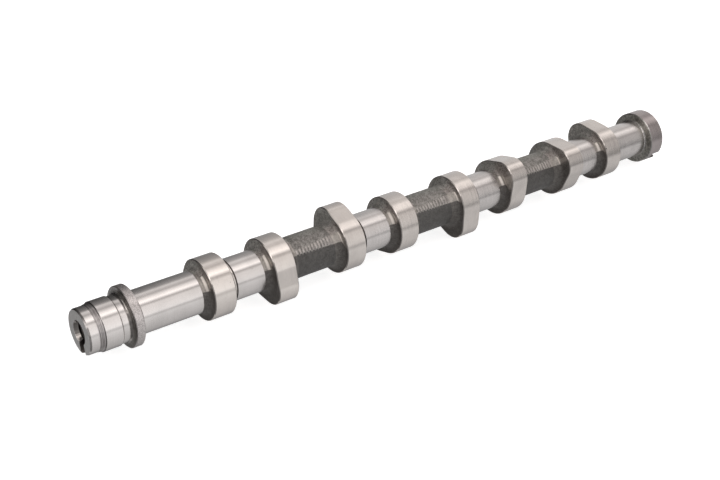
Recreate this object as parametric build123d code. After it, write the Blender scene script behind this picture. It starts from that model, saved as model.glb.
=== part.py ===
from build123d import *
from math import acos, cos, radians, sin, sqrt, tan
import os

# The shaft lies along X with the nose at X = 0 and the rear end at +X.
# Z points up from the floor that the shaft rests on, and the axis is at Z = 0.
# All lengths are in millimetres and all angles in degrees.

# Bearings and cylinders
journal_diameter = 24.0
cylinder_pitch = 86.0
firing_order = [1, 3, 4, 2]
front_journal_length = 40.6
rear_journal_length = 30.5

# Lobes: two for each cylinder, ground on the rim and left as cast on the sides
lobe_width = 13.0
lobe_spacing = 38.4
base_circle_diameter = 34.6
lift = 4.6
lobe_tip_radius = 11.1
front_lobe_angle = 236.8
rear_lobe_angle = 129.7
side_draft = 4.0
edge_break = 0.4

# Roots beside the lobes
neck_length = 3.5
neck_depth = 0.4
neck_root_radius = 2.6
cast_root_radius = 4.5
root_overlap = 0.05

# Nose: locating collar, rough lead-in, ground seat and relief in front of the thrust flange
collar_diameter = 25.0
collar_length = 5.1
collar_chamfer_length = 1.0
collar_chamfer_depth = 0.5
lead_in_length = 2.3
lead_in_rise = 0.6
seat_diameter = 27.0
seat_length = 10.5
relief_depth = 0.6
relief_length = 5.9
relief_root_radius = 1.9

# Thrust flange
flange_diameter = 33.6
flange_thickness = 4.9
thrust_ring_height = 0.3
flange_undercut_length = 1.5

# Bolt hole and locating notch in the nose
thread_core_diameter = 10.8
thread_hole_depth = 30.0
centre_cone_angle = 60.0
centre_cone_diameter = 13.4
drill_point_angle = 118.0
notch_width = 5.0
notch_depth = 4.0
notch_angle = 166.0

# Rear disc with its drive slot and centre hole
disc_diameter = 33.8
disc_thickness = 11.4
disc_front_chamfer = 0.7
disc_neck_length = 2.0
disc_root_radius = 1.5
slot_width = 6.0
slot_depth = 6.5
slot_angle = 127.0
rear_centre_cone_diameter = 9.0
rear_centre_drill_diameter = 5.0
rear_centre_drill_depth = 11.0

# How far the outlines of cuts and blanks reach past the surface that they trim
trim_margin = 1.0

# Stations along the shaft and radii that follow from the sizes above
cylinders = range(len(firing_order))
journal_radius = journal_diameter / 2
neck_radius = journal_radius - neck_depth
base_radius = base_circle_diameter / 2
tip_radius = base_radius + lift
relief_radius = seat_diameter / 2 - relief_depth
flange_front = collar_length + lead_in_length + seat_length + relief_length
flange_rear = flange_front + flange_thickness
first_lobe_front = flange_rear + front_journal_length
last_lobe_rear = first_lobe_front + cylinder_pitch * cylinders[-1] + lobe_spacing + lobe_width
disc_front = last_lobe_rear + rear_journal_length
shaft_length = disc_front + disc_thickness


def quarter_root(start, end):
    """Concave quarter circle between two corners of the outline."""
    low, high = sorted((start, end), key=lambda corner: corner[1])
    radius = high[1] - low[1]
    centre = (low[0], high[1])
    toward_face = 1 if high[0] > low[0] else -1
    middle = (centre[0] + toward_face * radius * sqrt(0.5), centre[1] - radius * sqrt(0.5))
    return ThreePointArc(start, middle, end)


def outline_edges(corners):
    """Lines and roots through corners written as (station, radius) or (station, radius, "root")."""
    edges = []
    for start, end in zip(corners, corners[1:]):
        if len(end) == 3:
            edges.append(quarter_root(start[:2], end[:2]))
        else:
            edges.append(Line(start[:2], end[:2]))
    return edges


def nose_corners():
    """Nose from the axis of its end face to the front edge of the thrust flange."""
    seat_front = collar_length + lead_in_length
    seat_rear = seat_front + seat_length
    ring_face = flange_front - thrust_ring_height
    ring_radius = relief_radius + relief_root_radius
    return [
        (0, 0),
        (0, collar_diameter / 2 - collar_chamfer_depth),
        (collar_chamfer_length, collar_diameter / 2),
        (collar_length, collar_diameter / 2),
        (seat_front, collar_diameter / 2 + lead_in_rise),
        (seat_front, seat_diameter / 2),
        (seat_rear, seat_diameter / 2),
        (seat_rear + edge_break, relief_radius),
        (ring_face - relief_root_radius, relief_radius),
        (ring_face, ring_radius, "root"),
        (flange_front, ring_radius),
    ]


def flange_corners():
    """Thrust flange and the undercut that lets the front journal be ground up to it."""
    undercut_end = flange_rear + flange_undercut_length
    return [
        (flange_front, flange_diameter / 2 - edge_break),
        (flange_front + edge_break, flange_diameter / 2),
        (flange_rear - edge_break, flange_diameter / 2),
        (flange_rear, flange_diameter / 2 - edge_break),
        (flange_rear, neck_radius),
        (undercut_end, neck_radius),
        (undercut_end + neck_depth, journal_radius),
    ]


def ground_side(face, way):
    """Neck and root on the journal side of a face; way is -1 in front of it and +1 behind it."""
    corners = [
        (face + way * (neck_length + neck_depth), journal_radius),
        (face + way * neck_length, neck_radius),
        (face + way * neck_root_radius, neck_radius),
        (face, neck_radius + neck_root_radius, "root"),
    ]
    return corners if way < 0 else falling(corners)


def cast_side(face, way):
    """Large root on the as-cast side of a lobe."""
    corners = [
        (face + way * cast_root_radius, journal_radius),
        (face, journal_radius + cast_root_radius, "root"),
    ]
    return corners if way < 0 else falling(corners)


def falling(corners):
    """The same corners from the face down to the shaft."""
    stations = [corner[:2] for corner in corners]
    stations.reverse()
    stations[1] = stations[1] + ("root",)
    return stations


def draft_shift(radius):
    """How far a drafted side stands out from the lobe's rim at a smaller radius."""
    return (base_radius - radius) * tan(radians(side_draft))


def lobe_side(front, way, ground):
    """Corners beside one lobe, on the side that way points to, running slightly into the lobe."""
    root_top = neck_radius + neck_root_radius if ground else journal_radius + cast_root_radius
    edge = front if way < 0 else front + lobe_width
    face = edge + way * (draft_shift(root_top) - root_overlap)
    return ground_side(face, way) if ground else cast_side(face, way)


def lobe_front(cylinder, second):
    """Station where a lobe's rim starts; second is 0 for the front lobe and 1 for the rear lobe."""
    return first_lobe_front + cylinder_pitch * cylinder + lobe_spacing * second


def shaft_corners():
    """Journals, necks and as-cast lengths of all the cylinders."""
    corners = []
    for cylinder in cylinders:
        starts_ground = cylinder == cylinders[0]
        ends_ground = cylinder == cylinders[-1]
        corners += lobe_side(lobe_front(cylinder, 0), -1, starts_ground)
        corners += lobe_side(lobe_front(cylinder, 0), 1, True)
        corners += lobe_side(lobe_front(cylinder, 1), -1, True)
        corners += lobe_side(lobe_front(cylinder, 1), 1, ends_ground)
    return corners


def disc_corners():
    """Rear disc with its neck, root and edge breaks."""
    disc_radius = disc_diameter / 2
    return [
        (disc_front - disc_neck_length - neck_depth, journal_radius),
        (disc_front - disc_neck_length, neck_radius),
        (disc_front - disc_root_radius, neck_radius),
        (disc_front, neck_radius + disc_root_radius, "root"),
        (disc_front, disc_radius - disc_front_chamfer),
        (disc_front + disc_front_chamfer, disc_radius),
        (shaft_length - edge_break, disc_radius),
        (shaft_length, disc_radius - edge_break),
        (shaft_length, 0),
        (0, 0),
    ]


def turned_shaft():
    """Everything that is round about the axis, as one solid of revolution."""
    corners = nose_corners() + flange_corners() + shaft_corners() + disc_corners()
    section = make_face(Plane.XZ * Curve(outline_edges(corners)))
    return revolve(section, Axis.X)


def lobe_profile():
    """Rim of a lobe that points to +Z: base circle and tip circle joined by straight flanks."""
    tip_centre = tip_radius - lobe_tip_radius
    flank = acos((base_radius - lobe_tip_radius) / tip_centre)
    base_left = (-base_radius * sin(flank), base_radius * cos(flank))
    base_right = (base_radius * sin(flank), base_radius * cos(flank))
    tip_left = (-lobe_tip_radius * sin(flank), tip_centre + lobe_tip_radius * cos(flank))
    tip_right = (lobe_tip_radius * sin(flank), tip_centre + lobe_tip_radius * cos(flank))
    rim = Curve([
        ThreePointArc(base_left, (0, -base_radius), base_right),
        Line(base_right, tip_right),
        ThreePointArc(tip_right, (0, tip_radius), tip_left),
        Line(tip_left, base_left),
    ])
    return make_face(rim)


def lobe_blank():
    """Drafted disc that gives a lobe its two slightly conical sides, its seam behind the base circle."""
    inner, outer = journal_radius, tip_radius + trim_margin
    section = Polyline(
        (-draft_shift(inner), 0),
        (-draft_shift(inner), inner),
        (-draft_shift(outer), outer),
        (lobe_width + draft_shift(outer), outer),
        (lobe_width + draft_shift(inner), inner),
        (lobe_width + draft_shift(inner), 0),
        close=True,
    )
    return Rot(X=180) * revolve(make_face(Plane.XZ * section), Axis.X)


def lobe():
    """One lobe pointing to +Z with its rim starting at X = 0."""
    overhang = draft_shift(journal_radius)
    prism = extrude(Plane.YZ.offset(-overhang) * lobe_profile(), lobe_width + 2 * overhang)
    body = prism & lobe_blank()
    rim_edges = [
        edge for edge in body.edges()
        if sqrt(edge.position_at(0.5).Y ** 2 + edge.position_at(0.5).Z ** 2) > base_radius - edge_break
        and abs(edge.tangent_at(0.5).X) < 0.5
    ]
    return chamfer(rim_edges, edge_break)


def lobe_angles(cylinder):
    """Directions of a cylinder's two lobes, each next cylinder to fire trailing by a quarter turn."""
    turn = 360 / len(firing_order) * firing_order.index(cylinder + 1)
    return front_lobe_angle - turn, rear_lobe_angle - turn


def lobes():
    """All lobes at their stations and angles."""
    pattern = lobe()
    placed = []
    for cylinder in cylinders:
        for second, angle in enumerate(lobe_angles(cylinder)):
            placed.append(Pos(X=lobe_front(cylinder, second)) * Rot(X=angle) * pattern)
    return placed


def cone_length(large, small, angle):
    """Length of a cone between two diameters for its included angle."""
    return (large - small) / 2 / tan(radians(angle / 2))


def centre_hole(cone_diameter, drill_diameter, depth):
    """Drilled hole along +X from X = 0 with a centring cone at its mouth and a drill point."""
    radius = drill_diameter / 2
    cone_end = cone_length(cone_diameter, drill_diameter, centre_cone_angle)
    section = Polyline(
        (-trim_margin, 0),
        (-trim_margin, cone_diameter / 2),
        (0, cone_diameter / 2),
        (cone_end, radius),
        (depth, radius),
        (depth + cone_length(drill_diameter, 0, drill_point_angle), 0),
        close=True,
    )
    return revolve(make_face(Plane.XZ * section), Axis.X)


def nose_notch():
    """Radial notch in the end face, from the bolt hole out through the collar."""
    reach = collar_diameter
    block = Box(2 * notch_depth, notch_width, reach, align=(Align.CENTER, Align.CENTER, Align.MIN))
    return Rot(X=notch_angle) * block


def drive_slot():
    """Slot across the rear face, through the axis."""
    return Pos(X=shaft_length) * Rot(X=slot_angle) * Box(2 * slot_depth, slot_width, 2 * disc_diameter)


def camshaft():
    """The finished shaft in one piece."""
    body = turned_shaft() + lobes()
    body -= centre_hole(centre_cone_diameter, thread_core_diameter, thread_hole_depth)
    body -= nose_notch()
    rear_hole = centre_hole(rear_centre_cone_diameter, rear_centre_drill_diameter, rear_centre_drill_depth)
    body -= Pos(X=shaft_length) * Rot(Y=180) * rear_hole
    body -= drive_slot()
    return body


os.makedirs("parts", exist_ok=True)
shaft = camshaft()
export_step(shaft, "parts/camshaft.step")
print("solids", len(shaft.solids()), "volume", round(shaft.volume), "length", round(shaft_length, 1))
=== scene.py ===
# %% [markdown]
# # A camshaft for a four-cylinder engine
# The real object is one iron casting. Its bearings, nose and cam lobes are ground bright, and everything
# between them keeps the dark skin of the mould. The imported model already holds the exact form, so this
# lesson makes one finer mesh of the same form, with a thread, ribs and cast skin that a plain solid lacks,
# and then spends its effort on finishes and light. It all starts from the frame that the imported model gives.

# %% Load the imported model
from math import acos, atan2, cos, degrees, pi, radians, sin, tan

import bmesh
import bpy
import numpy as np
from mathutils import Matrix, Vector, noise


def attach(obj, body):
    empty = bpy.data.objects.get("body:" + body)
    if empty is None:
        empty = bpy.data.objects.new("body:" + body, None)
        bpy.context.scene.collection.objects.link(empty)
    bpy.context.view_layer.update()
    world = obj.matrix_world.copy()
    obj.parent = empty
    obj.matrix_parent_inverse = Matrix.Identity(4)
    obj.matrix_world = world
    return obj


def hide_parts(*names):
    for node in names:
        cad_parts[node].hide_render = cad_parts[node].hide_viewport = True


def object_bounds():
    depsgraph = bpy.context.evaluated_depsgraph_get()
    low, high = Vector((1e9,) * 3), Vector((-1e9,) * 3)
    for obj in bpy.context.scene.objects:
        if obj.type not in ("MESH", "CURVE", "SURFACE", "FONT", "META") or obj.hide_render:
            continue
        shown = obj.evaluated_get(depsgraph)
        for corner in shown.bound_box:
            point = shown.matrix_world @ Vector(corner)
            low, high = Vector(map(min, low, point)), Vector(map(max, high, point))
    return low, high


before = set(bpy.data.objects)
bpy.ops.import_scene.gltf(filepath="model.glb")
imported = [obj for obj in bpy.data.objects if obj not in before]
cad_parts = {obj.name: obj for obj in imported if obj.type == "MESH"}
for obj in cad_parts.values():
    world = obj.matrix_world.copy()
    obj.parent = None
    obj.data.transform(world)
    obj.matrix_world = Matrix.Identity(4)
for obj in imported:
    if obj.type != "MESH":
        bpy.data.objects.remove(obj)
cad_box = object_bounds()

MM = 0.001
print("packed model, mm:", [round(1000 * side, 1) for corner in cad_box for side in corner])

# %% [markdown]
# ## Sizes
# A lathe hand thinks of a shaft as stations along its axis and diameters at each. The axis is X, the nose
# face is at zero and all lengths here are millimetres, the same ones that the solid was drawn with. Keeping
# them in one place means that each later step can be read next to a workshop drawing.

# %% Sizes of the shaft
journal_radius, neck_radius, neck_depth, neck_length, neck_root = 12.0, 11.6, 0.4, 3.5, 2.6
edge_break, cast_root = 0.4, 4.5
collar_radius, collar_length = 12.5, 5.5
lead_in_end, lead_in_radius = 8.6, 13.1
seat_radius, seat_end, relief_radius, relief_root = 13.5, 17.9, 12.9, 1.9
flange_front, flange_rear, flange_radius, ring_height = 23.8, 28.7, 16.8, 0.3
base_radius, lift, tip_arc, lobe_width, lobe_spacing = 17.3, 4.6, 11.1, 13.0, 38.4
first_lobe, cylinder_pitch, firing_order = 69.3, 86.0, (1, 3, 4, 2)
side_draft = radians(4.0)
disc_front, disc_rear, disc_radius = 409.2, 420.6, 16.9
flange_neck, disc_neck, disc_root, disc_break = 1.5, 2.0, 1.5, 0.7
print("length, mm:", disc_rear, "journal diameter, mm:", 2 * journal_radius)

# %% [markdown]
# ## Rings, the mesh form of turning
# A turned part can be made with a screw modifier, a revolved curve or rings of points. Rings were chosen,
# because a cam lobe isn't round: each ring may have its own outline, and the wall between two rings takes
# the finish that the grinder or the mould gave it. The whole shaft becomes one closed skin this way, from
# the bottom of the bolt hole, out over the nose, along the shaft and into the centre hole at the rear.

# %% Rings
AROUND = 128
turn = np.arange(AROUND) * 2 * pi / AROUND
ring_way = np.stack([np.zeros(AROUND), -np.sin(turn), np.cos(turn)], axis=1)
finishes = ["ground", "lobe_rim", "disc_rim", "cast_skin", "cast_ribbed", "turned_face", "recess_shade",
            "matt_rim", "lead_in", "fine_turned", "bore_shade", "disc_face", "ground_root", "flange_face_painted_light"]
rings = []


def ring(station, radius, finish):
    """Add a ring; station and radius are numbers, or one value for each point round the shaft."""
    points = ring_way * np.broadcast_to(radius, AROUND)[:, None]
    points[:, 0] = station
    rings.append((points, finishes.index(finish)))


def root(face, way, radius, low, inner, outer, steps=6):
    """Concave quarter circle between a shaft of radius low and a face; way -1 comes up to the face."""
    spread = [k / steps for k in range(steps + 1)]
    for part in spread if way < 0 else spread[::-1]:
        bend = part * pi / 2
        station = face + way * radius * (1 - sin(bend))
        ring(station, low + radius * (1 - cos(bend)), inner if part < 0.6 else outer)


print("points round the shaft:", AROUND)

# %% [markdown]
# ## The bolt hole and its thread
# The hole is drilled, coned and tapped before the shaft is ground between its cones. A thread could be a
# helix swept along a curve, but the wall of a tapped hole is simply a radius that rises and falls as it
# winds, so the rings take that radius directly: one full wave for each turn and each pitch along the axis.

# %% Bolt hole
core_radius, thread_depth, thread_pitch = 5.4, 0.5, 1.5
hole_depth, cone_radius, cone_end, thread_end = 30.0, 6.7, 2.25, 26.0
drill_point = radians(59)


def thread_radius(station):
    """Radius of the tapped wall: flat crests at the core and rounded valleys outside them."""
    wave = 0.5 - 0.5 * np.cos(2 * pi * station / thread_pitch - turn)
    fade = min(1.0, (thread_end - station) / thread_pitch, (station - cone_end) / 0.4)
    return core_radius + thread_depth * max(fade, 0.0) * np.clip(1.3 * wave - 0.15, 0.0, 1.0)


# painted shade: the bolt hole's walls and thread take the dark bore tone
ring(hole_depth + core_radius / tan(drill_point), 0.0, "bore_shade")
ring(hole_depth, core_radius, "bore_shade")
for station in np.linspace(thread_end, cone_end, 84):
    ring(station, thread_radius(station), "bore_shade")
print("thread turns:", round((thread_end - cone_end) / thread_pitch, 1))

# %% [markdown]
# ## The nose
# From its flat face the nose steps up: a chamfer, a ground collar, a short band left rough by the turning
# tool, the ground seat, a relief and its root against the thrust flange. Steps could be cut into a plain
# cylinder with bevels, but a ring each side of every corner keeps each diameter true to the drawing. The
# rough band gets real fine grooves, because their shine changes as one walks round the shaft.

# %% Nose
ring(1.2, 5.98, "fine_turned")
ring(0.12, cone_radius - 0.07, "fine_turned")
ring(0.0, cone_radius + 0.05, "turned_face")
for radius in np.linspace(cone_radius + 0.5, 11.9, 8):
    ring(0.0, radius, "turned_face")
ring(0.08, 12.03, "turned_face")
ring(1.0, collar_radius - 0.02, "ground")
ring(1.05, collar_radius, "ground")
ring(collar_length - 0.1, collar_radius, "ground")
grooves, groove_depth, band_length = 4, 0.08, 2.95
for index in range(8 * grooves + 1):
    part = index / (8 * grooves)
    rise = (lead_in_radius - collar_radius) * part
    groove = groove_depth * (0.5 - 0.5 * cos(2 * pi * grooves * part))
    ring(collar_length + band_length * part, collar_radius + rise - groove, "lead_in")
# painted shade: the step up to the seat takes the dark recess tone
ring(lead_in_end - 0.12, lead_in_radius - 0.1, "recess_shade")
ring(lead_in_end, lead_in_radius - 0.1, "recess_shade")
ring(lead_in_end, seat_radius - 0.15, "recess_shade")
ring(lead_in_end + 0.15, seat_radius, "ground")
ring(seat_end, seat_radius, "ground")
# painted shade in the step down to the relief
ring(seat_end + 0.25, relief_radius - 0.12, "recess_shade")
ring(seat_end + 0.8, relief_radius, "fine_turned")
ring_face = flange_front - ring_height
ring(ring_face - relief_root, relief_radius, "ground")
# the flange's face takes a material with painted shade in its corner and painted light at the top of the far
# side
root(ring_face, -1, relief_root, relief_radius, "fine_turned", "flange_face_painted_light", 8)
for radius in (relief_radius + relief_root + 0.1, 15.4, 16.0, flange_radius - edge_break):
    ring(flange_front, radius, "flange_face_painted_light")
ring(flange_front + edge_break, flange_radius, "matt_rim")
for station in np.linspace(flange_front + 1.0, flange_rear - 1.0, 4):
    ring(station, flange_radius, "matt_rim")
ring(flange_rear - edge_break, flange_radius, "matt_rim")
ring(flange_rear, flange_radius - edge_break, "matt_rim")
ring(flange_rear, neck_radius, "turned_face")
# painted shade in the neck behind the flange
ring(flange_rear + flange_neck, neck_radius, "recess_shade")
ring(flange_rear + flange_neck + neck_depth, journal_radius, "ground")
print("rings up to the thrust flange:", len(rings))

# %% [markdown]
# ## A cam lobe
# The rim of a lobe is a base circle, on which the valve stays shut, and a smaller circle round the tip,
# joined by straight flanks. In polar form each stretch has a short formula, so every ring of a lobe is
# that formula turned to the lobe's angle. The sides keep the mould's draft: they lean outwards towards the
# shaft, and are rough, so they get small seeded bumps, while the rim is ground true.

# %% Lobe outline
tip_centre = base_radius + lift - tip_arc
flank_angle = acos((base_radius - tip_arc) / tip_centre)
tip_edge = atan2(tip_arc * sin(flank_angle), tip_centre + tip_arc * cos(flank_angle))


def lobe_radius(angle):
    """Radius of the rim at every point round the shaft, for a lobe that points at this angle in degrees."""
    off = np.abs((turn - radians(angle) + pi) % (2 * pi) - pi)
    inside = np.clip(tip_arc ** 2 - (tip_centre * np.sin(off)) ** 2, 0, None)
    over_tip = tip_centre * np.cos(off) + np.sqrt(inside)
    over_flank = base_radius / np.cos(np.minimum(off, flank_angle) - flank_angle)
    return np.where(off < tip_edge, over_tip, np.where(off < flank_angle, over_flank, base_radius))


def cast_noise(points, size, height):
    """Height of the cast skin at each point, the same on every run."""
    return np.array([height * noise.noise(Vector(point) / size) for point in points])


def drafted(radius):
    """How far a side stands out from the rim at a smaller radius."""
    return (base_radius - radius) * tan(side_draft)


def lobe_side(edge, way, outline, root_top, steps=5):
    """Rings over a drafted side, from the root to the rim where way is -1 and back where it is +1."""
    rows = []
    for step in range(steps + 1):
        part = step / steps
        radius = root_top + (outline - edge_break - root_top) * part
        calm_ends = min(1.0, 2 * part, 4 - 4 * part)
        skin = cast_noise(ring_way * radius[:, None] + [edge, 0, 0], 1.6, 0.09) * calm_ends
        rows.append((edge + way * (drafted(radius) + skin), radius))
    for station, radius in rows if way < 0 else rows[::-1]:
        ring(station, radius, "cast_skin")


def lobe(front, angle, root_tops):
    """One lobe between its two roots."""
    outline = lobe_radius(angle)
    rear = front + lobe_width
    lobe_side(front, -1, outline, root_tops[0])
    ring(front - drafted(outline) + edge_break, outline, "lobe_rim")
    ring(rear + drafted(outline) - edge_break, outline, "lobe_rim")
    lobe_side(rear, 1, outline, root_tops[1])


print("lobe: flank angle", round(degrees(flank_angle), 1), "tip radius", round(base_radius + lift, 1))

# %% [markdown]
# ## Necks, cast lengths and their ribs
# Beside a journal the grinding wheel needs room, so a shallow neck and a root lead into the lobe. Between
# two cylinders nothing is ground: the shaft keeps the mould's skin. The two halves of the mould met along
# the shaft, and the fin that they left was dressed off, which left fine ribs across a light strip, whose
# light tone is partly painted highlight. Bump alone would leave the highlight smooth, so each rib is a real
# wave of the wall that dies out away from the strip, and no two are quite alike. On the first two lengths
# the upper half of the mould stood out a little further than the lower, which leaves a low step along the
# shaft.

# %% Necks and cast lengths
ground_top = neck_radius + neck_root
cast_top = journal_radius + cast_root
rib_pitch, rib_height = 2.1, 0.16
rib_fade, step_fade = 2.0, 3.5
MOULD_TOP = radians(-38.0)
STRIP = 48.0
from_top = np.degrees(np.arccos(np.cos(turn - MOULD_TOP))) + degrees(MOULD_TOP)
near_strip = np.exp(-((from_top - STRIP) / 16.0) ** 2)
upper_half = np.clip((STRIP + 8.0 - from_top) / 4.0, 0.0, 1.0)


def ground_side(edge, way):
    """Neck and root between a journal and a lobe's side."""
    face = edge + way * drafted(ground_top)
    if way < 0:
        ring(face - neck_length - neck_depth, journal_radius, "ground")
        ring(face - neck_length, neck_radius, "ground")
    root(face, way, neck_root, neck_radius, "ground_root" if way < 0 else "lobe_rim", "ground_root")
    if way > 0:
        ring(face + neck_length - 0.35, neck_radius, "lobe_rim")
        # painted shade in the neck behind the lobe and in its step up to the journal
        ring(face + neck_length, neck_radius, "recess_shade")
        ring(face + neck_length + neck_depth, journal_radius, "recess_shade")


def cast_length(start, end, proud):
    """Ribbed shaft between the roots of two lobes; its upper half stands proud by so much."""
    front, rear = start + drafted(cast_top), end - drafted(cast_top)
    root(front, 1, cast_root, journal_radius, "cast_skin", "cast_skin")
    for station in np.arange(front + cast_root, rear - cast_root, rib_pitch / 4)[1:]:
        room = min(station - front, rear - station) - cast_root
        edge = min(1.0, room / rib_fade)
        points = ring_way * journal_radius + [station, 0, 0]
        drift = cast_noise(points, 9.0, 0.4)
        wave = np.cos(2 * pi * (station + drift) / rib_pitch) - 1
        step = sin(pi / 2 * min(1.0, room / step_fade)) ** 2
        skin = (cast_noise(points, 1.3, 0.09) + cast_noise(points, 4.0, 0.07)) * (0.35 + 0.65 * upper_half)
        rise = edge * (0.5 * rib_height * wave * near_strip + skin) + step * proud * upper_half
        ring(station, journal_radius + rise, "cast_ribbed")
    root(rear, -1, cast_root, journal_radius, "cast_skin", "cast_skin")


print("ribs in a cast length:", round((cylinder_pitch - lobe_spacing - lobe_width) / rib_pitch))

# %% [markdown]
# ## Eight lobes in firing order
# Each cylinder has two lobes, one for each kind of valve, a fixed angle apart. From one cylinder to the
# next the pair turns with the firing order, a quarter turn of the camshaft for each half turn of the
# engine. The lobes could be copied objects, but then the shaft would be full of seams, so one loop walks
# along the shaft and lays down the rings of each pair in turn.

# %% Lobes in firing order
first_angle, second_angle = 236.8, 129.7
cylinders = len(firing_order)
mould_steps = (0.5, 0.3, 0.0)
for cylinder in range(cylinders):
    quarter = 90.0 * firing_order.index(cylinder + 1)
    front = first_lobe + cylinder_pitch * cylinder
    second = front + lobe_spacing
    first, last = cylinder == 0, cylinder == cylinders - 1
    if first:
        ground_side(front, -1)
    lobe(front, first_angle - quarter, (ground_top if first else cast_top, ground_top))
    ground_side(front + lobe_width, 1)
    ground_side(second, -1)
    lobe(second, second_angle - quarter, (ground_top, ground_top if last else cast_top))
    if last:
        ground_side(second + lobe_width, 1)
    else:
        cast_length(second + lobe_width, front + cylinder_pitch, mould_steps[cylinder])
print("rings up to the last lobe:", len(rings))

# %% [markdown]
# ## The rear disc
# The rear journal ends in a neck and a disc, whose rear face has a centre hole, on which the shaft turned
# while it was ground, and a milled drive slot. The rings run over the rim and face and down into the
# centre hole, which closes the skin. The slot is cut afterwards.

# %% Rear disc
ring(disc_front - disc_neck - neck_depth, journal_radius, "ground")
# painted shade in the neck before the disc
ring(disc_front - disc_neck, neck_radius, "recess_shade")
root(disc_front, -1, disc_root, neck_radius, "ground", "disc_face")
for radius in (14.2, 15.4, disc_radius - disc_break):
    ring(disc_front, radius, "disc_face")
ring(disc_front + 0.4, disc_radius - 0.3, "disc_face")
ring(disc_front + disc_break, disc_radius, "ground")
ring(disc_rear - edge_break, disc_radius, "disc_rim")
ring(disc_rear, disc_radius - edge_break, "disc_rim")
for radius in np.linspace(15.5, 4.7, 8):
    ring(disc_rear, radius, "turned_face")
centre_radius, centre_depth = 2.5, 11.0
ring(disc_rear - 0.2, 4.4, "turned_face")
# painted shade inside the centre hole
ring(disc_rear - 3.46, centre_radius, "bore_shade")
ring(disc_rear - centre_depth, centre_radius, "bore_shade")
ring(disc_rear - centre_depth - centre_radius / tan(drill_point), 0.0, "bore_shade")
print("rings in all:", len(rings))

# %% [markdown]
# ## One recipe for all finishes
# All finishes are the same iron, so they share one recipe: metal with a colour that wavers a little, a
# roughness that wavers too, and fine relief from noise. The node steps could be laid out by hand for each
# material, but a small class that adds one step at a time keeps each finish to a few readable lines.


# %% Finish recipe
class Finish:
    """A material being made, with the few node steps that the finishes share."""

    def __init__(self, name, metallic=1.0, spread=0.0):
        self.material = bpy.data.materials.new(name)
        self.material.use_nodes = True
        self.nodes = self.material.node_tree.nodes
        self.links = self.material.node_tree.links
        self.shader = self.nodes["Principled BSDF"]
        self.shader.inputs["Metallic"].default_value = metallic
        self.shader.inputs["Anisotropic"].default_value = spread
        self.shader.inputs["Anisotropic Rotation"].default_value = 0.25 if spread else 0.0
        self.place = self.nodes.new("ShaderNodeTexCoord").outputs["Object"]

    def feed(self, value, socket):
        """Set a socket to a number or a colour, or link an output to it."""
        if isinstance(value, bpy.types.NodeSocket):
            self.links.new(value, socket)
        elif isinstance(value, tuple):
            socket.default_value = (*value, 1.0)
        else:
            socket.default_value = value

    def math(self, operation, *values):
        """One math step; each value is a number or an output."""
        node = self.nodes.new("ShaderNodeMath")
        node.operation = operation
        for socket, value in zip(node.inputs, values):
            self.feed(value, socket)
        return node.outputs[0]

    def add(self, first, second):
        """Sum of two values."""
        return self.math("ADD", first, second)

    def times(self, first, second):
        """Product of two values."""
        return self.math("MULTIPLY", first, second)

    def noise(self, scale, stretch=(1, 1, 1), detail=3.0):
        """Noise of so many waves a metre, squeezed along X, Y and Z."""
        squeeze = self.nodes.new("ShaderNodeVectorMath")
        squeeze.operation = "MULTIPLY"
        self.links.new(self.place, squeeze.inputs[0])
        squeeze.inputs[1].default_value = stretch
        node = self.nodes.new("ShaderNodeTexNoise")
        self.links.new(squeeze.outputs[0], node.inputs["Vector"])
        node.inputs["Scale"].default_value = scale
        node.inputs["Detail"].default_value = detail
        return node.outputs["Fac"]

    def ease(self, value, low, high, start=0.0, end=1.0):
        """Smooth step of a value from low to high."""
        node = self.nodes.new("ShaderNodeMapRange")
        node.interpolation_type = "SMOOTHSTEP"
        for socket, number in zip(node.inputs[:5], (value, low, high, start, end)):
            self.feed(number, socket)
        return node.outputs["Result"]

    def between(self, share, first, second):
        """Number that slides from the first value to the second as share goes from 0 to 1."""
        return self.add(self.times(first, self.math("SUBTRACT", 1.0, share)), self.times(second, share))

    def mix(self, share, first, second):
        """Blend of two colours; each is a colour or an output."""
        node = self.nodes.new("ShaderNodeMix")
        node.data_type = "RGBA"
        for value, socket in ((share, node.inputs[0]), (first, node.inputs[6]), (second, node.inputs[7])):
            self.feed(value, socket)
        return node.outputs[2]

    def bump(self, height, depth):
        """Relief of a height between 0 and 1, with its depth in millimetres."""
        node = self.nodes.new("ShaderNodeBump")
        self.links.new(height, node.inputs["Height"])
        node.inputs["Distance"].default_value = depth * MM
        self.links.new(node.outputs["Normal"], self.shader.inputs["Normal"])

    def done(self, colour, roughness):
        """Wire the colour and the roughness and hand the material over."""
        self.feed(colour, self.shader.inputs["Base Color"])
        self.feed(roughness, self.shader.inputs["Roughness"])
        return self.material


print("finishes to make:", len(finishes))

# %% [markdown]
# ## Ground iron
# Journals and rims are ground while the shaft turns, which leaves fine lines all round it. Light spreads
# across such lines, not along them, so the shader gets a tangent round the axis and a strong anisotropy.
# A brushed image texture would do the same on a flat sheet, but here noise that is squeezed along X gives
# lines with no seam. Rarely, a pore of the casting shows in the ground metal as a dark pit.


# %% Ground finishes
def ground_iron(name, dark, light, rough, depth, lines_along=70.0):
    """Ground metal with fine lines round the shaft, a wavering tone and a few pores."""
    finish = Finish(name, spread=0.9)
    lines = finish.noise(60.0, (lines_along, 1.0, 1.0), 4.0)
    cloud = finish.noise(90.0)
    pores = finish.ease(finish.noise(520.0, detail=0.0), 0.86, 0.93)
    tangent = finish.nodes.new("ShaderNodeTangent")
    tangent.direction_type = "RADIAL"
    tangent.axis = "X"
    finish.links.new(tangent.outputs[0], finish.shader.inputs["Tangent"])
    tone = finish.mix(finish.ease(finish.add(lines, cloud), 0.75, 1.25), dark, light)
    finish.bump(lines, depth)
    pore_colour = (0.10, 0.09, 0.085)
    roughness = finish.ease(lines, 0.3, 0.7, rough[0], rough[1])
    return finish.done(finish.mix(pores, tone, pore_colour), roughness)


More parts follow.
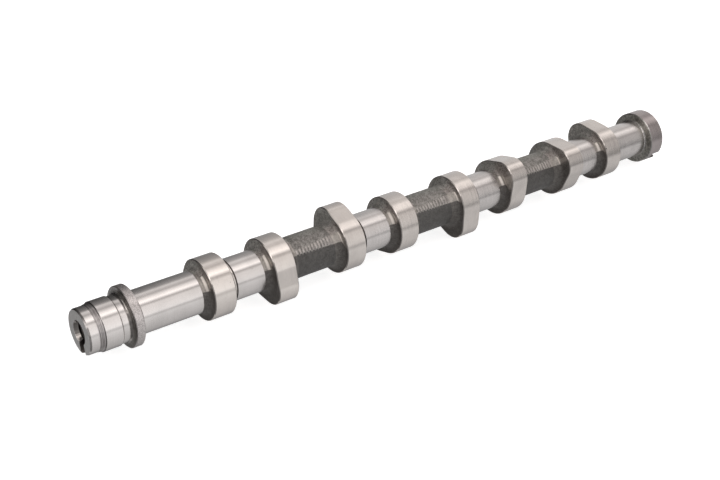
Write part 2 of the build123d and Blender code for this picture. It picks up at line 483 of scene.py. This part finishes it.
made = {
    "ground": ground_iron("ground", (0.58, 0.55, 0.535), (0.65, 0.615, 0.60), (0.16, 0.22), 0.003),
    "lobe_rim": ground_iron("lobe_rim", (0.60, 0.555, 0.525), (0.68, 0.63, 0.595), (0.13, 0.20), 0.002),
    "disc_rim": ground_iron("disc_rim", (0.345, 0.305, 0.30), (0.415, 0.37, 0.365), (0.20, 0.26), 0.004),
    "lead_in": ground_iron("lead_in", (0.30, 0.275, 0.27), (0.68, 0.64, 0.63), (0.26, 0.40), 0.014, 22.0),
}
print("ground finishes:", list(made))

# %% [markdown]
# ## Cast iron from a mould in two halves
# The mould's halves met in a plane through the axis. Above the light strip the skin is a rough mid grey,
# speckled with brown, and below it the colour is darker and less speckled. Where the halves met, the fin
# was dressed off, and the strip there is partly dressed metal and partly painted highlight: broken by the
# ribs over most of a cast length, whole at its end, with a painted highlight in the root, and dull on the
# face of the lobe. Painting all that on an image would need an unwrapped mesh. Here the angle round the
# shaft, the radius and the place along it are worked out from the object coordinates, and smooth steps of
# them say where each tone begins and ends. All angles are degrees round the axis.


# %% Cast finish
def mould_place(finish):
    """Degrees from the mould's edge on top, radius and place along X."""
    split = finish.nodes.new("ShaderNodeSeparateXYZ")
    finish.links.new(finish.place, split.inputs[0])
    x, y, z = split.outputs
    radius = finish.math("SQRT", finish.add(finish.times(y, y), finish.times(z, z)))
    height = finish.add(finish.times(y, -sin(MOULD_TOP)), finish.times(z, cos(MOULD_TOP)))
    turned = finish.math("ARCCOSINE", finish.math("DIVIDE", height, radius))
    return finish.add(finish.times(turned, 180 / pi), degrees(MOULD_TOP)), radius, x


def dressed_strip_and_highlight(finish, blotch, ribbed, by_journal):
    """Shares of the strip, partly painted highlight, of the darker lower half, of the painted highlight in the
    root and of the face of a lobe, and the angle.
    """
    angle, radius, x = mould_place(finish)
    length_start, length = 120.7 * MM, 34.6 * MM
    from_start = finish.math("WRAP", finish.math("SUBTRACT", x, length_start), cylinder_pitch * MM, 0.0)
    along = finish.math("DIVIDE", from_start, length)
    outward = finish.ease(radius, 13.5 * MM, 16.0 * MM)
    phase = finish.add(finish.times(x, 2 * pi / (rib_pitch * MM)), finish.times(blotch, 1.5))
    wave = finish.math("SINE", phase)
    ragged = finish.times(finish.math("SUBTRACT", blotch, 0.5), 1.6)
    if ribbed:
        ragged = finish.add(ragged, finish.times(wave, finish.ease(along, 0.35, 0.85, 1.0, 0.0)))
    # start and end: first on the shaft, then on the lobe's face; inner and outer: radii of the painted
    # highlight in the root, in mm
    if by_journal:
        start = finish.between(outward, finish.ease(x, 0.22, 0.28, 25.0, 32.0), 54.0)
        end = finish.between(outward, finish.ease(x, 0.125, 0.200, 65.0, 60.5), 72.0)
        inner, outer = 11.72, 13.0
    else:
        face_end = finish.add(64.0, finish.times(finish.math("SINE", finish.times(x, 52.0)), 9.0))
        start = finish.between(outward, finish.ease(along, 0.10, 0.95, 37.0, 33.0), 47.0)
        end = finish.between(outward, finish.ease(along, 0.0, 0.9, 54.5, 57.5), face_end)
        inner, outer = 13.8, 14.75
    past_start = finish.math("SUBTRACT", finish.math("SUBTRACT", angle, start), finish.times(ragged, 5.0))
    past_end = finish.add(finish.math("SUBTRACT", angle, end), finish.times(ragged, 2.5))
    soft = finish.add(1.0, finish.times(outward, 8.0))
    begun = finish.ease(past_start, -1.5, 1.5)
    not_over = finish.ease(finish.math("DIVIDE", past_end, soft), -1.0, 1.0, 1.0, 0.0)
    strip = finish.times(begun, not_over)
    if ribbed:
        gaps = finish.times(finish.ease(wave, 0.35, -0.25), finish.ease(along, 0.66, 1.0, 1.0, 0.0))
        strip = finish.times(strip, finish.math("SUBTRACT", 1.0, gaps))
    # painted highlight: a bright ring in the root, only where the strip lies
    glint_end = finish.ease(radius, (outer - 0.25) * MM, outer * MM, 1.0, 0.0)
    glint = finish.times(finish.ease(radius, inner * MM, (inner + 0.3) * MM), glint_end)
    lower = finish.ease(past_end, -2.0, 2.0)
    return strip, lower, finish.times(glint, strip), outward, angle


def cast_iron(name, top, side, lower_tone, dressed_and_highlight_tone, ribbed, by_journal=False):
    """Skin of the two halves of the mould, with the strip where they met, partly dressed metal and partly
    painted highlight.
    """
    finish = Finish(name, metallic=0.85)
    grains = finish.noise(1600.0, detail=4.0)
    blotch = finish.noise(420.0)
    stains = finish.ease(finish.noise(1000.0, detail=2.0), 0.50, 0.62)
    strip, lower, glint, outward, angle = dressed_strip_and_highlight(finish, blotch, ribbed, by_journal)
    upper_tone = finish.mix(finish.ease(angle, -5.0, 18.0), top, side)
    tone = finish.mix(lower, upper_tone, lower_tone)
    brown = (0.045, 0.032, 0.026)
    stained = finish.mix(finish.times(stains, finish.ease(lower, 0.0, 1.0, 0.30, 0.18)), tone, brown)
    speckle = finish.ease(finish.add(grains, finish.times(blotch, 0.8)), 0.73, 1.07)
    grain_share = finish.ease(lower, 0.0, 1.0, 0.42, 0.30)
    dark_grain = finish.times(finish.math("SUBTRACT", 1.0, speckle), grain_share)
    skin_tone = finish.mix(dark_grain, stained, (0.02, 0.016, 0.014))
    strip_share = finish.times(strip, finish.ease(outward, 0.0, 1.0, 1.0, 0.85))
    # the strip's tone: partly dressed metal, partly painted highlight
    worn_strip_and_highlight = finish.mix(finish.times(dark_grain, 0.75), dressed_and_highlight_tone, brown)
    rust_edge = finish.times(outward, finish.ease(finish.noise(1500.0), 0.35, 0.65, 0.10, 0.42))
    colour = finish.mix(strip_share, finish.mix(rust_edge, skin_tone, brown), worn_strip_and_highlight)
    finish.bump(finish.add(grains, finish.times(blotch, 0.6)), 0.19)
    roughness = finish.ease(strip, 0.0, 1.0, 0.55, 0.36)
    if not ribbed:
        # the painted highlight in the root
        colour = finish.mix(glint, colour, (0.80, 0.735, 0.68))
    return finish.done(colour, roughness)


# tones: top, side, below the strip, and the strip, which is partly painted highlight
face_tones = ((0.66, 0.64, 0.605), (0.54, 0.49, 0.46), (0.20, 0.188, 0.177), (0.47, 0.435, 0.40))
length_tones = ((0.42, 0.41, 0.38), (0.37, 0.35, 0.33), (0.14, 0.135, 0.13), (0.56, 0.515, 0.49))
made["cast_skin"] = cast_iron("cast_skin", *face_tones, False)
made["ground_root"] = cast_iron("ground_root", *face_tones, False, by_journal=True)
made["cast_ribbed"] = cast_iron("cast_ribbed", *length_tones, True)
print("finishes so far:", len(made))

# %% [markdown]
# ## Turned and matt iron
# The nose face, the flange, the recesses and the bore were turned or drilled, not ground. Seen from here,
# their tool marks are too fine to tell apart and read as grain. So they share the recipe without the
# tangent, and differ in tone, roughness and size of the grain. The recesses and the bore are painted dark,
# as painted shade. The flange's face gets a material of its own, with painted shade in its corner and painted
# light at the top of the far side. Two faces with two materials would show a seam there, so one material
# slides from tone to tone across the face.


# %% Turned and matt finishes
def turned_iron(name, dark, light, rough, grain, depth):
    """Turned or blasted metal, grainy in every direction."""
    finish = Finish(name)
    grains = finish.noise(grain, detail=4.0)
    finish.bump(grains, depth)
    tone = finish.mix(finish.ease(grains, 0.38, 0.62), dark, light)
    return finish.done(tone, finish.ease(grains, 0.3, 0.7, rough[0], rough[1]))


turned_looks = {
    "turned_face": ((0.82, 0.80, 0.785), (0.90, 0.885, 0.87), (0.42, 0.50), 600.0, 0.005),
    # recess: a dark tone that paints the shade in grooves, steps and necks
    "recess_shade": ((0.13, 0.115, 0.11), (0.22, 0.20, 0.19), (0.3, 0.45), 700.0, 0.02),
    "matt_rim": ((0.38, 0.355, 0.345), (0.60, 0.56, 0.55), (0.28, 0.40), 1500.0, 0.05),
    "fine_turned": ((0.34, 0.315, 0.30), (0.42, 0.39, 0.37), (0.10, 0.16), 600.0, 0.004),
    # bore: a dark tone that paints the shade inside the holes, the notch and the slot
    "bore_shade": ((0.08, 0.07, 0.065), (0.14, 0.125, 0.115), (0.35, 0.5), 600.0, 0.01),
    "disc_face": ((0.32, 0.31, 0.285), (0.56, 0.54, 0.50), (0.35, 0.5), 800.0, 0.04),
}
for name, look in turned_looks.items():
    made[name] = turned_iron(name, *look)


def flange_iron_painted_light(name, corner, lit_far_top):
    """Turned face of the flange, with painted shade in its corner and painted light at the top of the far
    side.
    """
    finish = Finish(name)
    split = finish.nodes.new("ShaderNodeSeparateXYZ")
    finish.links.new(finish.place, split.inputs[0])
    grains = finish.noise(600.0, detail=4.0)
    finish.bump(grains, 0.005)
    up_and_away = finish.add(finish.times(split.outputs["Y"], 0.87), finish.times(split.outputs["Z"], 0.5))
    dark_until, pale_from = 7.6 * MM, 10.6 * MM
    # painted shade in the corner, sliding to painted light at the top of the far side
    tone = finish.mix(finish.ease(up_and_away, dark_until, pale_from), corner, lit_far_top)
    oiled = (0.05, 0.045, 0.04)
    shaded = finish.mix(finish.ease(grains, 0.38, 0.62, 0.35, 0.0), tone, oiled)
    return finish.done(shaded, finish.ease(grains, 0.3, 0.7, 0.35, 0.5))


made["flange_face_painted_light"] = flange_iron_painted_light("flange_face_painted_light", (0.33, 0.31, 0.29), (0.74, 0.72, 0.70))
print("finishes:", len(made), "of", len(finishes))

# %% [markdown]
# ## From rings to one mesh
# The rings are joined into one mesh with bmesh: a quad between each pair of neighbours, and a fan at each
# end, where a ring has shrunk to a point. One mesh suits a casting best, since it has no seams where none
# are on the real one.


# %% Skin the rings
def empty_mesh(name):
    """A mesh that already carries every finish, so that its faces can point at them by number."""
    mesh = bpy.data.meshes.new(name)
    for entry in finishes:
        mesh.materials.append(made[entry])
    return mesh


def skin(name, rows):
    """One closed mesh through all the rings, with a finish for each band."""
    mesh = empty_mesh(name)
    bm = bmesh.new()
    table = []
    for points, _ in rows:
        if np.allclose(points[:, 1:], 0):
            table.append([bm.verts.new(points[0] * MM)] * AROUND)
        else:
            table.append([bm.verts.new(point * MM) for point in points])
    for row in range(1, len(rows)):
        for k in range(AROUND):
            corners = [table[row - 1][k], table[row - 1][k - 1], table[row][k - 1], table[row][k]]
            face = bm.faces.new(list(dict.fromkeys(corners)))
            face.material_index = rows[row][1]
            face.smooth = True
    bmesh.ops.recalc_face_normals(bm, faces=bm.faces)
    bm.to_mesh(mesh)
    bm.free()
    return mesh


shaft = bpy.data.objects.new("camshaft_skin", skin("camshaft_skin", rings))
bpy.context.collection.objects.link(shaft)
print("faces before milling:", len(shaft.data.polygons))

# %% [markdown]
# ## Milled cuts
# The locating notch runs from the bolt hole out through the collar, and the drive slot runs right across
# the rear face. Each could be left out of the rings by hand, but a cutter, a solid of the removed metal,
# says plainly what the mill did. Each is cut with a boolean and applied, so that the mesh itself is the
# result, and the cutter's own finish becomes that of the new walls.


# %% Notch and drive slot
def cutter(name, reach_x, width, reach_z, station, angle, flare=0.25):
    """Box with slightly flared mouth, turned about the shaft's axis."""
    mesh = empty_mesh(name)
    bm = bmesh.new()
    side = width / 2
    into = 1 if reach_x > 0 else -1
    outline = [(-into, side + flare + 1), (0, side + flare), (into * flare, side), (reach_x, side)]
    outline += [(x, -y) for x, y in outline[::-1]]
    below = [bm.verts.new((x, y, reach_z[0])) for x, y in outline]
    above = [bm.verts.new((x, y, reach_z[1])) for x, y in outline]
    bm.faces.new(below)
    bm.faces.new(above)
    for k in range(len(outline)):
        bm.faces.new((below[k - 1], below[k], above[k], above[k - 1]))
    bmesh.ops.recalc_face_normals(bm, faces=bm.faces)
    for face in bm.faces:
        # painted shade: the walls of the cut take the dark bore tone
        face.material_index = finishes.index("bore_shade")
    bmesh.ops.transform(bm, matrix=Matrix.Diagonal((MM, MM, MM, 1)), verts=bm.verts)
    bm.to_mesh(mesh)
    bm.free()
    tool = bpy.data.objects.new(name, mesh)
    tool.matrix_world = Matrix.Translation((station * MM, 0, 0)) @ Matrix.Rotation(radians(angle), 4, "X")
    bpy.context.collection.objects.link(tool)
    return tool


def cut(target, tool):
    """Take the tool's volume out of the target for good."""
    step = target.modifiers.new(tool.name, "BOOLEAN")
    step.operation = "DIFFERENCE"
    step.solver = "EXACT"
    step.object = tool
    step.material_mode = "INDEX"
    bpy.context.view_layer.update()
    evaluated = target.evaluated_get(bpy.context.evaluated_depsgraph_get())
    result = bpy.data.meshes.new_from_object(evaluated)
    target.modifiers.clear()
    target.data = result
    bpy.data.objects.remove(tool)


notch_angle, slot_angle = 166.0, 127.0
cut(shaft, cutter("notch_tool", 4.0, 5.0, (0, 25.0), 0.0, notch_angle))
cut(shaft, cutter("slot_tool", -6.5, 6.0, (-30.0, 30.0), disc_rear, slot_angle))
shaft.data.name = "camshaft_skin"
print("faces after milling:", len(shaft.data.polygons))

# %% [markdown]
# ## Smooth walls, crisp corners
# On the real shaft the grinder leaves every corner crisp, and a highlight runs along a journal without a
# facet. A bevel and weighted normals could give that, but the small edge breaks are already rings, so it
# is enough to shade everything smooth and to mark the edges sharper than a set angle as sharp.

# %% Shading
sharp_from = radians(18)
for face in shaft.data.polygons:
    face.use_smooth = True
shaft.data.set_sharp_from_angle(angle=sharp_from)
print("triangles:", sum(len(face.vertices) - 2 for face in shaft.data.polygons))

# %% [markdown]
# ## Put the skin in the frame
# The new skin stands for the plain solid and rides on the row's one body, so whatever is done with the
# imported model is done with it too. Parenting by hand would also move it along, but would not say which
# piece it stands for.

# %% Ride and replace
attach(shaft, "root")
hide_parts("camshaft")
print("rides on root and replaces camshaft")

# %% [markdown]
# ## Floor
# The photograph shows the shaft on plain white. A plain pale floor lies just under the lobes that the
# shaft rests on. A floor of paper alone would look grey under soft light, so it glows a little, as a sheet
# on a light table does, and the shadow stays soft. The metal doesn't mirror it: what it mirrors from below
# is the lower half of the light tent, which is set to the tones that the photograph shows there.

# %% Floor
floor_level = cad_box[0][2]
floor_mesh = bpy.data.meshes.new("floor")
reach = 6.0
floor_plan = ((-reach, -reach), (reach, -reach), (reach, reach), (-reach, reach))
floor_corners = [(x, y, floor_level) for x, y in floor_plan]
floor_mesh.from_pydata(floor_corners, [], [(0, 1, 2, 3)])
floor = bpy.data.objects.new("floor", floor_mesh)
bpy.context.collection.objects.link(floor)
paper = bpy.data.materials.new("paper")
paper.use_nodes = True
sheet = paper.node_tree.nodes["Principled BSDF"]
sheet.inputs["Base Color"].default_value = (0.86, 0.86, 0.86, 1)
sheet.inputs["Roughness"].default_value = 0.9
sheet.inputs["Emission Color"].default_value = (1, 1, 1, 1)
sheet.inputs["Emission Strength"].default_value = 0.78
floor_mesh.materials.append(paper)
floor.visible_glossy = False
print("floor at, mm:", round(1000 * floor_level, 2))

# %% [markdown]
# ## A white wall round the floor
# From the photographer's place only the floor lies behind the shaft. Seen from the side, the camera would
# look past the floor's edge into the tent, so a wide ring of white cloth stands there, as in a studio. A
# larger floor would only move its edge away. The cloth is there for the camera alone: it casts no light and
# no shadow on the shaft, and the metal doesn't mirror it.

# %% White wall
backdrop_reach, backdrop_height, backdrop_sides = 5.8, 4.0, 64
bearings = [2 * pi * k / backdrop_sides for k in range(backdrop_sides)]
foot = [(backdrop_reach * cos(a), backdrop_reach * sin(a), floor_level) for a in bearings]
head = [(x, y, z + backdrop_height) for x, y, z in foot]
panels = []
for k in range(backdrop_sides):
    after = (k + 1) % backdrop_sides
    panels.append((k, after, after + backdrop_sides, k + backdrop_sides))
backdrop_mesh = bpy.data.meshes.new("backdrop")
backdrop_mesh.from_pydata(foot + head, [], panels)
backdrop = bpy.data.objects.new("backdrop", backdrop_mesh)
bpy.context.collection.objects.link(backdrop)
white_cloth = bpy.data.materials.new("white_cloth")
white_cloth.use_nodes = True
cloth = white_cloth.node_tree.nodes["Principled BSDF"]
cloth.inputs["Base Color"].default_value = (0, 0, 0, 1)
cloth.inputs["Specular IOR Level"].default_value = 0.0
cloth.inputs["Emission Color"].default_value = (1, 1, 1, 1)
cloth.inputs["Emission Strength"].default_value = 1.1
backdrop_mesh.materials.append(white_cloth)
backdrop.visible_glossy = False
backdrop.visible_diffuse = False
backdrop.visible_shadow = False
print("wall panels:", len(panels))

# %% [markdown]
# ## Light
# Bright metal shows its surroundings, so the light is a tent: a soft white world with long panels that run
# along the shaft. Area lamps could be hung one by one, but each journal is a mirror rolled round the axis,
# and shows the tent as a strip of tones by angle. So the tent is drawn the same way, as brightness by the
# angle round the shaft's axis. One ramp holds for what the nose end mirrors and one for the rear end, and
# they slide into each other along X. Three dark cards stand round the nose: one keeps its top dark, and two
# keep its chamfer and the mouth of the bolt hole dark.

# %% Light tent
world = bpy.data.worlds.new("tent")
bpy.context.scene.world = world
world.use_nodes = True
nodes = world.node_tree.nodes
links = world.node_tree.links
tent_glow = nodes["Background"]
TENT_PEAK = 2.5
tent_glow.inputs["Strength"].default_value = TENT_PEAK
way = nodes.new("ShaderNodeTexCoord")
split = nodes.new("ShaderNodeSeparateXYZ")
links.new(way.outputs["Generated"], split.inputs[0])


def tent_math(operation, *values):
    """One math step in the tent; each value is a number or an output."""
    node = nodes.new("ShaderNodeMath")
    node.operation = operation
    for socket, value in zip(node.inputs, values):
        if isinstance(value, bpy.types.NodeSocket):
            links.new(value, socket)
        else:
            socket.default_value = value
    return node.outputs[0]


def tent_step(value, low, high, start=0.0, end=1.0, smooth=True):
    """Step of a value from low to high."""
    node = nodes.new("ShaderNodeMapRange")
    node.interpolation_type = "SMOOTHSTEP" if smooth else "LINEAR"
    links.new(value, node.inputs[0])
    for socket, number in zip(node.inputs[1:5], (low, high, start, end)):
        socket.default_value = number
    return node.outputs["Result"]


back = tent_math("MULTIPLY", split.outputs["Y"], -1.0)
around = tent_math("ARCTAN2", back, split.outputs["Z"])


def tent_ramp(stops):
    """Brightness round the axis: angle in degrees from overhead, positive towards the viewer."""
    ramp = nodes.new("ShaderNodeValToRGB")
    band = ramp.color_ramp
    while len(band.elements) > 1:
        band.elements.remove(band.elements[0])
    for index, (angle, level) in enumerate(stops):
        place = (angle + 180) / 360
        spot = band.elements[0] if index == 0 else band.elements.new(place)
        warmth = max(0.0, cos(radians(angle - 10)))
        share = level / TENT_PEAK
        spot.position = place
        spot.color = (share, share * (1 - 0.035 * warmth), share * (1 - 0.055 * warmth), 1)
    links.new(tent_step(around, -pi, pi, smooth=False), ramp.inputs["Fac"])
    return ramp.outputs["Color"]


near = tent_ramp([(-180, 0.60), (-161, 0.38), (-149, 0.31), (-107, 0.28), (-95, 0.21), (-80, 0.22),
                  (-65, 0.31), (-47, 0.48), (-38, 0.75), (-32, 1.1), (-23, 1.0), (-11, 0.66), (-4, 0.98),
                  (7, 1.65), (18, 2.25), (25, 1.5), (30, 0.74), (36, 0.88), (42, 1.32), (61, 1.44),
                  (85, 1.55), (91, 1.05), (96, 0.90), (103, 1.08), (127, 0.88), (157, 0.72), (180, 0.60)])
far = tent_ramp([(-180, 0.49), (-161, 0.40), (-149, 0.46), (-125, 0.62), (-95, 0.82), (-47, 0.84),
                 (-23, 0.67), (-11, 1.18), (-5, 1.40), (1, 1.18), (13, 0.77), (25, 0.50), (31, 0.48),
                 (37, 0.52), (67, 0.47), (85, 0.32), (91, 0.27), (97, 0.34), (109, 0.66), (151, 0.67),
                 (180, 0.49)])
MIRROR_X, REAR_X = 0.385, 0.708
share = tent_math("POWER", tent_step(split.outputs["X"], REAR_X, MIRROR_X, smooth=False), 1.4)
blend = nodes.new("ShaderNodeMix")
blend.data_type = "RGBA"
links.new(share, blend.inputs[0])
links.new(far, blend.inputs[6])
links.new(near, blend.inputs[7])


def dark_card(middle, half, edge, from_x, to_x, depth):
    """Share of light that a card takes: where it hangs round the axis, in degrees, and along X."""
    off = tent_math("ABSOLUTE", tent_math("SUBTRACT", around, radians(middle)))
    width = tent_step(off, radians(half + edge), radians(half))
    covered = tent_math("MULTIPLY", width, tent_step(split.outputs["X"], from_x, to_x))
    return tent_math("MULTIPLY", covered, depth)


over_nose = dark_card(-75, 30, 18, 0.362, 0.312, 0.78)
left_open = tent_step(split.outputs["X"], -0.62, -0.56)
before_nose = tent_math("MULTIPLY", dark_card(-34, 54, 12, 0.20, 0.05, 0.82), left_open)
under_nose = dark_card(112, 60, 12, 0.15, 0.0, 0.72)
card = tent_math("MAXIMUM", tent_math("MAXIMUM", over_nose, before_nose), under_nose)
dimmed = nodes.new("ShaderNodeVectorMath")
dimmed.operation = "SCALE"
links.new(blend.outputs[2], dimmed.inputs[0])
links.new(tent_math("SUBTRACT", 1.0, card), dimmed.inputs["Scale"])
links.new(dimmed.outputs[0], tent_glow.inputs["Color"])
print("tent nodes:", len(nodes))

# %% [markdown]
# ## Camera
# The photograph looks down on the nose from the left. A camera can be placed by eye, but here camera and
# shaft were fitted together to the photographed outlines, which gave where the camera stands, which way it
# looks and its lens. The two directions below are its right hand and its line of sight.

# %% Camera
lens = bpy.data.cameras.new("camera")
lens.lens = 60.124
lens.sensor_width = 36.0
lens.clip_end = 50.0
camera = bpy.data.objects.new("camera", lens)
bpy.context.collection.objects.link(camera)
right = Vector((0.797494, -0.603193, 0.012692)).normalized()
ahead = Vector((0.532615, 0.693987, -0.484460)).normalized()
up = right.cross(ahead).normalized()
facing = Matrix((right, up, -ahead)).transposed().to_4x4()
camera.matrix_world = Matrix.Translation((-0.1953, -0.4845, 0.3340)) @ facing
bpy.context.scene.camera = camera
bpy.context.scene.view_settings.view_transform = "Standard"
height = camera.matrix_world.translation.z - floor_level
print("camera height over the floor, mm:", round(1000 * height, 1))
